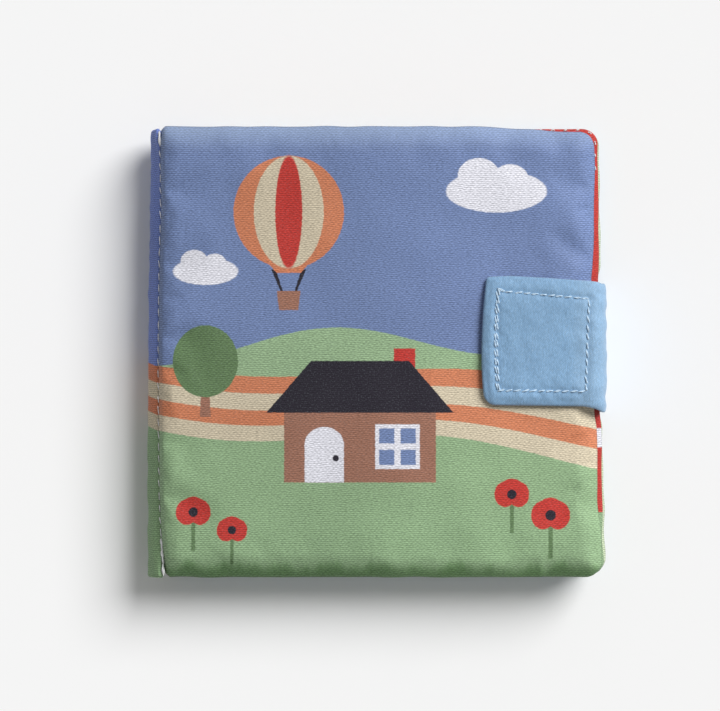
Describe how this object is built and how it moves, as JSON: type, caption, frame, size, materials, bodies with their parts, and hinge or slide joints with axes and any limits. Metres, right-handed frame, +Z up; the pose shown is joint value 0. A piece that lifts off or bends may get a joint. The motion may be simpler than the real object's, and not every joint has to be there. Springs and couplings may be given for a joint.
{
  "type": "cloth puppet book",
  "caption": "Soft padded cloth puppet book, shut, with a sewn spine, printed covers and a blue hook-and-loop closing tab over the fore edge",
  "frame": {"origin": "under the middle of the book's outline, on the surface that the back cover lies on", "axes": "+Z up through the front cover, +X from the spine to the fore edge, +Y to the head of the page"},
  "size_m": [0.1538, 0.152, 0.028],
  "materials": {
    "cover_cloth": "printed plain-weave cotton over padding",
    "page_cloth": "printed plain-weave cotton over padding",
    "tab_cloth": "plain-weave cotton, unprinted",
    "fastener_tape": "woven hook and loop tape",
    "thread": "twisted polyester sewing thread",
    "pocket_cloth": "plain-weave cotton",
    "puppet_plush": "short-pile plush"
  },
  "bodies": {
    "book_block": {"inner_pages": "page_cloth", "spine_fold": "cover_cloth", "spine_stitching": "thread", "puppet_pocket": "pocket_cloth", "pocket_stitching": "thread", "finger_puppet": "puppet_plush"},
    "front_panel": {"front_cover": "cover_cloth", "cover_loop_patch": "fastener_tape"},
    "back_panel": {"back_cover": "cover_cloth", "closing_tab": "tab_cloth", "tab_hook_patch": "fastener_tape", "tab_stitching": "thread"}
  },
  "joints": [
    {"name": "front_cover_hinge", "type": "hinge", "parent": "book_block", "child": "front_panel", "pos_m": [-0.07255, 0, 0.0219], "axis": [0, -1, 0], "range_deg": [0, 180], "deforming": ["closing_tab", "tab_hook_patch", "tab_stitching"]},
    {"name": "back_cover_hinge", "type": "hinge", "parent": "book_block", "child": "back_panel", "pos_m": [-0.07255, 0, 0.0025], "axis": [0, 1, 0], "range_deg": [0, 180], "deforming": ["closing_tab", "tab_hook_patch", "tab_stitching"]}
  ]
}
